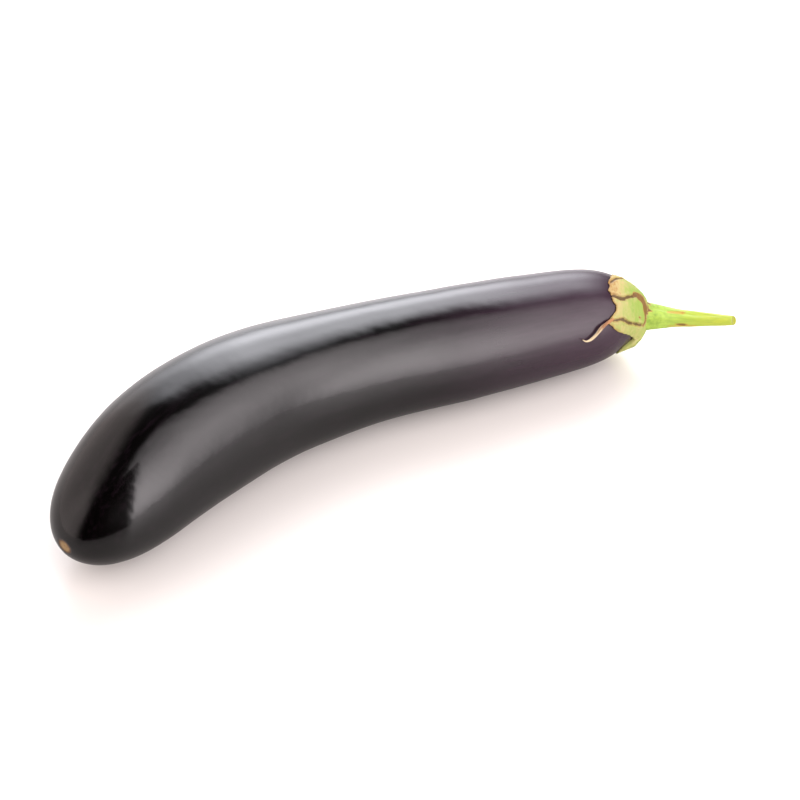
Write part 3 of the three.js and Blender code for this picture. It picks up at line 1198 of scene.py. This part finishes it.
@dataclass
class Stem(Part):
    """The short stem that the fruit was cut by, flaring into the calyx at its foot.

    Stations of the strokes are a place along the stem, an angle and a half width. Fibres are a
    seed, their shortest and longest waves and a height. Shares of the cut go from its edge to
    its middle.
    """

    finish = StemTissue
    slot = Slot.STEM
    node = "stem"

    fruit: Fruit
    calyx: Calyx
    length: float = 37.0
    foot: float = 4.0
    radius_stations: Stations = (
        (-4, 8.2), (-1, 6.4), (2, 5.6), (5, 5.1), (9, 4.3), (13, 3.7), (18, 3.3), (25, 2.85),
        (32, 2.35), (37, 2),
    )
    heading_stations: Stations = ((-4, -35), (0, -37), (12, -37), (37, -35))
    rise: float = 0.02
    ridges: int = 5
    ridge_height: float = 0.25
    ridges_end: float = 18.0
    bevel: float = 0.5
    bevel_share: float = 0.25
    pith_depth: float = 0.35
    pith_shares: tuple[float, float] = (0.3, 0.8)
    cut_shares: tuple[float, float] = (0.15, 0.3)
    rim_share: float = 0.12
    rim_width: float = 0.1
    rim_cover: float = 0.7
    slant: float = 0.55
    slant_facing: float = 138.0
    slant_length: float = 5.0
    fibres: Sequence[float] = (31, 0.9, 3.2, 0.05)
    fibres_scale: tuple[float, float, float] = (0.12, 1, 1)
    cork: Sequence[Stations] = (
        ((9, 108, 0.5), (12, 103, 0.65), (15, 95, 0.6)),
        ((9.5, 196, 0.15), (13, 200, 0.45), (18, 202, 0.4), (21, 205, 0.15)),
    )
    scars: Sequence[Stations] = (
        ((12.3, 191, 0.15), (14, 192, 0.45), (16, 193, 0.5), (17.6, 195, 0.15)),
        ((15, 98, 0.15), (16, 94, 0.15)),
    )
    teeth: Sequence[Stations] = (
        ((-1, 72, 1.2), (-0.6, 90, 1.2), (-0.3, 105, 1.1), (-0.4, 122, 0.9), (-1, 140, 0.5)),
        ((0, 80, 0.9), (1.6, 86, 0.15)),
        ((0, 111, 0.9), (2.6, 119, 0.15)),
    )
    yellows_over: tuple[float, float] = (8, 30)
    mottled_over: tuple[float, float] = (4, 14)
    crowding: float = 1.2
    rows: int = 260
    columns: int = 150
    cap_rows: int = 14

    def __post_init__(self) -> None:
        """Walks the stem's axis from inside the neck end of the fruit."""
        self.radius = Spline(self.radius_stations)
        end = self.fruit.axis.at(np.array(self.fruit.axis_length))
        start = end.point - end.along * self.foot
        heading = Spline(self.heading_stations)
        self.axis = Path(
            start[:2], -self.foot, self.length, heading,
            lambda place: end.point[2] + self.rise * place,
        )

    def surface(self, place: Array, angle: Array, lift: Array | float = 0.0) -> Array:
        """The flank of the stem with its ridges.

        The radius is the spline's plus the ridge height times the cosine of the ridges times
        the angle, which fades along the stem, plus the lift. Near the cut, which slants, each
        point moves back along the axis by the slant times how far it is on the facing side.

        Args:
            place: Places along the stem.
            angle: Angles round it.
            lift: How far each point is raised.

        Returns:
            The points.
        """
        place, angle = np.broadcast_arrays(np.asarray(place, float), np.asarray(angle, float))
        section = self.axis.at(place)
        fade = 1 - smooth(place, self.ridges_end, self.length)
        ridge = self.ridge_height * np.cos(self.ridges * np.radians(angle)) * fade
        radius = self.radius(place) + ridge + lift
        facing = radius * np.cos(np.radians(angle - self.slant_facing))
        near_cut = smooth(place, self.length - self.slant_length, self.length)
        back = (self.slant * facing * near_cut)[..., None]
        return section.point - section.along * back + section.across(angle) * radius[..., None]

    def build(self) -> bpy.types.Object:
        """The flank with its fibres, then the rounded rim and the sunken pith of the cut.

        The bevel rises as the first quarter of a sine. The shrink is how far in from the
        flank to the axis a row lies, as a share.

        Returns:
            The stem, with the masks of its finish.
        """
        flank = np.linspace(0, 1, self.rows - self.cap_rows) ** self.crowding
        inwards = np.linspace(0, 1, self.cap_rows + 1)[1:]
        bevelled = np.sin(np.minimum(inwards / self.bevel_share, 1) * np.pi / 2)
        cut = self.length - self.bevel * (1 - bevelled)
        cut -= self.pith_depth * smooth(inwards, *self.pith_shares)
        place = np.concatenate([blend(-self.foot, self.length - self.bevel, flank), cut])
        turns = np.arange(self.columns) * 360 / self.columns
        place, angle = np.meshgrid(place, turns, indexing="ij")
        shrink = np.concatenate([0 * flank, inwards])[:, None] + 0 * angle
        straight = rolled_out(place, self.radius(place), np.radians(angle))
        fibres = random_waves(straight * self.fibres_scale, *self.fibres)
        on_flank = self.surface(place, angle, fibres * (1 - shrink))
        points = blend(on_flank, self.axis.at(place).point, shrink[..., None])
        points[0] = self.axis.at(np.array(-self.foot)).point
        cork, scars, teeth = (
            [Stroke.over(self.surface, line) for line in lines]
            for lines in (self.cork, self.scars, self.teeth)
        )
        rim = self.rim_cover * bell(shrink - self.rim_share, self.rim_width)
        return closed_mesh("cut_stem", points, straight, {
            "tip": smooth(place, *self.yellows_over),
            "foot": 1 - smooth(place, *self.mottled_over),
            "cork_mm": clearance(points, cork),
            "scar_mm": clearance(points, scars),
            "torn_mm": clearance(points, self.calyx.strokes(self.calyx.torn) + teeth),
            "cut": smooth(shrink, *self.cut_shares),
            "rim": rim * (shrink > 0),
        })


# ---- studio


@dataclass(frozen=True)
class Glow:
    """A brighter patch of a softbox: where it is, how far it spreads and how strong it is."""

    azimuth: float
    elevation: float
    wide: float
    high: float
    strength: float


@dataclass(frozen=True)
class Softbox:
    """One soft light of the studio, as the patch of the sky that it fills.

    Azimuths are clockwise from +Y as seen from above. Elevations are from the horizon, as
    seen square on from the way that the box faces, so its upper and lower edges are straight.
    The softness is how many degrees its left, right, lower and upper edges take to fade.
    The leans are how many degrees the left and right edges go left for each unit of the
    tangent of the elevation.
    """

    azimuths: tuple[float, float]
    elevations: tuple[float, float]
    facing: float
    softness: tuple[float, float, float, float]
    base: float
    glows: Sequence[Glow]
    colour: tuple[float, float, float]
    leans: tuple[float, float] = (0.0, 0.0)


class SoftSky(Recipe):
    """A world of softboxes, where the light from a direction depends on it alone."""

    def __init__(self, name: str) -> None:
        """Starts the world, and works out the azimuth and the steepness of a direction.

        Args:
            name: The name of the world.
        """
        world = bpy.data.worlds.new(name)
        world.use_nodes = True
        bpy.context.scene.world = world
        super().__init__(world.node_tree)
        add = self.add
        direction = add("TexCoord").outputs["Generated"]
        self.x, self.y, self.z = add("SeparateXYZ", [direction]).outputs
        level = add("VectorMath", [direction, (1, 1, 0)], operation="MULTIPLY")
        level = add("VectorMath", [level], operation="LENGTH").outputs["Value"]
        self.steep = add("Math", [self.z, level], operation="DIVIDE")
        azimuth = add("Math", [self.x, self.y], operation="ARCTAN2")
        self.azimuth = add("Math", [azimuth], operation="DEGREES")

    def place_in(self, box: Softbox) -> tuple[Node, Node]:
        """Places a direction in the terms of a softbox.

        Args:
            box: The softbox.

        Returns:
            Its azimuth from the middle of the box, and its elevation as seen square on.
        """
        add = self.add
        middle = sum(box.azimuths) / 2
        off = add("Math", [self.azimuth, middle], operation="SUBTRACT")
        off = add("Math", [off, 180.0, -180.0], operation="WRAP")
        facing = np.radians(box.facing)
        ahead = add("Math", [self.x, np.sin(facing)], operation="MULTIPLY")
        ahead = add("Math", [self.y, np.cos(facing), ahead], operation="MULTIPLY_ADD")
        elevation = add("Math", [self.z, ahead], operation="ARCTAN2")
        return off, add("Math", [elevation], operation="DEGREES")

    def window(self, box: Softbox, off: Node, elevation: Node) -> Node:
        """How far a direction is inside a softbox.

        It is a product of four smooth steps, at both azimuths and both elevations, each as
        wide as its softness.

        Args:
            box: The softbox.
            off: The direction's azimuth from the middle of the box.
            elevation: Its elevation as seen square on.

        Returns:
            A share from 0 to 1.
        """
        half = (box.azimuths[1] - box.azimuths[0]) / 2
        left, right = (
            self.add("Math", [self.steep, lean, off], operation="MULTIPLY_ADD")
            for lean in box.leans
        )
        edges = ((left, -half), (right, half), *((elevation, edge) for edge in box.elevations))
        inside = 1.0
        for (value, edge), soft, inwards in zip(edges, box.softness, (0.5, -0.5, 0.5, -0.5)):
            reach = inwards * soft
            step = self.add("MapRange", [
                value, edge - reach, edge + reach,
            ], interpolation_type="SMOOTHSTEP")
            inside = self.add("Math", [inside, step], operation="MULTIPLY")
        return inside

    def add_softbox(self, light: Node, box: Softbox) -> Node:
        """Adds one softbox's light to what is there.

        Its strength is the base plus, for each glow, the glow's strength times a bell of the
        distance from the glow's middle.

        Args:
            light: The light so far.
            box: The softbox.

        Returns:
            The light with the softbox added.
        """
        add = self.add
        off, elevation = self.place_in(box)
        strength = box.base
        for glow in box.glows:
            total = 0.0
            for value, at, spread in (
                (off, glow.azimuth - sum(box.azimuths) / 2, glow.wide),
                (elevation, glow.elevation, glow.high),
            ):
                away = add("Math", [value, at], operation="SUBTRACT")
                away = add("Math", [away, spread], operation="DIVIDE")
                total = add("Math", [away, away, total], operation="MULTIPLY_ADD")
            fall = add("Math", [np.e, total], operation="POWER")
            own = add("Math", [glow.strength, fall], operation="DIVIDE")
            strength = add("Math", [strength, own], operation="ADD")
        window = self.window(box, off, elevation)
        strength = add("Math", [strength, window], operation="MULTIPLY")
        own = add("VectorMath", [box.colour, strength], operation="SCALE")
        return add("VectorMath", [light, own], operation="ADD")


def staged_sheet(
    name: str, corners: Stations, material: bpy.types.Material
) -> bpy.types.Object:
    """Puts a flat sheet into the studio.

    Args:
        name: The name of the sheet.
        corners: Its four corners.
        material: What it is made of.

    Returns:
        The sheet.
    """
    sheet = new_piece(name, np.array(corners), [(0, 1, 2, 3)])
    sheet.data.materials.append(material)
    return sheet


@dataclass
class Studio:
    """The pale floor, the black flag, the soft lights round them and the camera."""

    floor_side: float = 12000.0
    floor_colour: str = "#eeeae5"
    # Painted shade: the darker tone that reflections of the paper show.
    floor_shade_in_reflections: str = "#a5a29f"
    floor_roughness: float = 0.3
    flag_corners: Stations = ((-39, -309), (-420, -247))
    flag_height: float = 900.0
    fill: float = 0.43
    ceiling: float = 0.02
    backdrop: float = 1.3
    softboxes: Sequence[Softbox] = (
        Softbox(
            (5.5, 20.5), (-14, 62), 56, (25, 76, 24, 10), 2.65,
            (Glow(35.5, 21, 18, 17, 9.7), Glow(55.5, 47, 27.5, 10, 5.1)), (1, 1, 1.06),
            (0, -51),
        ),
        Softbox(
            (114, 182), (-25, 83), 131, (12, 8, 40, 10), 0.6,
            (
                Glow(166, 30, 25, 36, 5.2), Glow(123, 42, 21, 33, 2.4),
                Glow(149, 12, 9, 16, 1.2), Glow(136, 33, 8, 15, 0.9),
            ),
            (1.08, 1, 1.02), (8, 0),
        ),
        Softbox(
            (-116, 5), (-60, 68), -60, (23, 14, 20, 24), 0.86,
            (Glow(-77, 0, 26, 300, 0.4),), (1.15, 1, 0.97),
        ),
    )
    camera_azimuth: float = -30.0
    camera_elevation: float = 42.0
    camera_distance: float = 900.0
    camera_target: tuple[float, float, float] = (2.83, -10.97, 20.0)
    camera_lens: float = 100.04
    camera_sensor: float = 36.0
    camera_reach: tuple[float, float] = (50.0, 50000.0)

    def build_floor(self) -> None:
        """A wide, level sheet of pale paper under everything, with painted shade where
        reflections see it.
        """
        half = self.floor_side / 2
        corners = [(-half, -half, 0), (half, -half, 0), (half, half, 0), (-half, half, 0)]
        paper = Painting("matt white paper")
        # Rays that reflect off the skin see the paper in the darker tone: painted shade in the
        # reflections.
        mirrored = paper.add("LightPath").outputs["Is Glossy Ray"]
        tone = paper.layered(self.floor_colour, (mirrored, self.floor_shade_in_reflections))
        finish = {"Base Color": tone, "Roughness": self.floor_roughness}
        staged_sheet("paper_floor", corners, paper.finished("BsdfPrincipled", finish))

    def build_flag(self) -> None:
        """A standing black card, which keeps part of a softbox out of the skin's reflections."""
        one, other = self.flag_corners
        top = self.flag_height
        corners = [(*one, 0), (*other, 0), (*other, top), (*one, top)]
        card = Painting("black card").finished("BsdfDiffuse", {"Color": "#000000"})
        flag = staged_sheet("black_flag", corners, card)
        flag.visible_camera = flag.visible_diffuse = flag.visible_shadow = False

    def build_lights(self) -> None:
        """The softboxes and a dim ceiling, as light from the directions they lie in.

        Matt surfaces get an even fill as well, and the camera sees a plain white backdrop.
        """
        sky = SoftSky("soft studio")
        add = sky.add
        light = add("CombineXYZ", [self.ceiling, self.ceiling, self.ceiling])
        for box in self.softboxes:
            light = sky.add_softbox(light, box)
        rays = add("LightPath").outputs
        matt = rays["Is Diffuse Ray"]
        fill = add("Math", [matt, self.fill], operation="MULTIPLY")
        light = add("VectorMath", [light, fill], operation="ADD")
        studio = add("Background", {"Color": light})
        backdrop = add("Background", {"Color": (1, 1, 1, 1), "Strength": self.backdrop})
        shown = add("MixShader", [rays["Is Camera Ray"], studio, backdrop])
        add("OutputWorld", {"Surface": shown})

    def build_camera(self) -> None:
        """The camera looks at the target from its azimuth, elevation and distance.

        Colours are shown as they are, so that well lit white paper comes out white.
        """
        turn, tilt = np.radians([self.camera_azimuth, self.camera_elevation])
        back = Vector((
            np.sin(turn) * np.cos(tilt), -np.cos(turn) * np.cos(tilt), np.sin(tilt)
        ))
        lens = bpy.data.cameras.new("camera")
        lens.lens = self.camera_lens
        lens.sensor_width = self.camera_sensor
        lens.clip_start, lens.clip_end = (reach * METRES for reach in self.camera_reach)
        camera = bpy.data.objects.new("camera", lens)
        camera.location = (Vector(self.camera_target) + back * self.camera_distance) * METRES
        camera.rotation_mode = "QUATERNION"
        camera.rotation_quaternion = (-back).to_track_quat("-Z", "Y")
        bpy.context.scene.collection.objects.link(camera)
        bpy.context.scene.camera = camera
        bpy.context.scene.view_settings.view_transform = "Standard"


# ---- assembly


def main() -> None:
    """Builds the eggplant piece by piece, then the studio round it."""
    logging.basicConfig(level=logging.INFO, format="%(name)s: %(message)s")
    fruit = Fruit()
    calyx = Calyx(fruit)
    for part in (fruit, calyx, Tendril(fruit), Stem(fruit, calyx)):
        piece = part.build()
        part.dress(piece)
        triangles = sum(len(face.vertices) - 2 for face in piece.data.polygons)
        LOG.info("%s: %d triangles, %.1f x %.1f x %.1f mm", piece.name, triangles,
                 *(size / METRES for size in piece.dimensions))
    studio = Studio()
    studio.build_floor()
    studio.build_flag()
    studio.build_lights()
    studio.build_camera()


if __name__ == "__main__":
    main()
